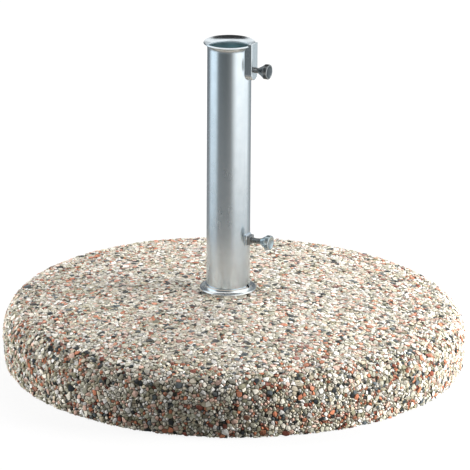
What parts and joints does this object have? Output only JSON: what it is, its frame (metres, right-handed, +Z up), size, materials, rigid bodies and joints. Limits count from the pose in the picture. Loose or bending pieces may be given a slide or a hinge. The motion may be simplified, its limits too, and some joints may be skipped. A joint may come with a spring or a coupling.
{
  "type": "parasol base",
  "caption": "Round exposed-aggregate concrete parasol base with an upright zinc-plated pole tube, clamped by knurled thumb screws in square nuts.",
  "frame": {"origin": "on the ground, under the axis of the pole tube", "axes": "+Z up along the pole tube; the thumb screws point 27 degrees from +X towards -Y"},
  "size_m": [0.5, 0.5, 0.356],
  "materials": {
    "aggregate_concrete": "washed exposed aggregate",
    "zinc_tube": "bright zinc plate",
    "zinc_collar": "bright zinc plate, pressed",
    "zinc_screw": "blue zinc plate, knurled",
    "nut_steel": "dull plated, heat-darkened by welding",
    "black_steel": "mill finish, cast in"
  },
  "bodies": {
    "base": {"stone_body": "aggregate_concrete", "tube": "zinc_tube", "foot_collar": "zinc_collar", "foot_disc": "black_steel", "anchor_bars": "black_steel", "upper_nut": "nut_steel", "lower_nut": "nut_steel", "lower_nut_weld": "nut_steel"},
    "upper_screw": {"upper_screw_shank": "zinc_screw"},
    "upper_knob": {"upper_screw_head": "zinc_screw"},
    "lower_screw": {"lower_screw_shank": "zinc_screw"},
    "lower_knob": {"lower_screw_head": "zinc_screw"}
  },
  "joints": [
    {"name": "upper_travel", "type": "slide", "parent": "base", "child": "upper_screw", "axis": [0.891, -0.454, 0], "range_m": [-0.00495, 0.0018]},
    {"name": "upper_turn", "type": "hinge", "parent": "upper_screw", "child": "upper_knob", "pos_m": [0, 0, 0.327], "axis": [0.891, -0.454, 0], "range_deg": [-1770, 630]},
    {"name": "lower_travel", "type": "slide", "parent": "base", "child": "lower_screw", "axis": [0.891, -0.454, 0], "range_m": [-0.0103, 0.0013]},
    {"name": "lower_turn", "type": "hinge", "parent": "lower_screw", "child": "lower_knob", "pos_m": [0, 0, 0.1377], "axis": [0.891, -0.454, 0], "range_deg": [-3690, 450]}
  ],
  "couplings": [
    {"joint": "upper_travel", "follows": "upper_turn", "m_per_rad": 0.00015915},
    {"joint": "lower_travel", "follows": "lower_turn", "m_per_rad": 0.00015915}
  ]
}
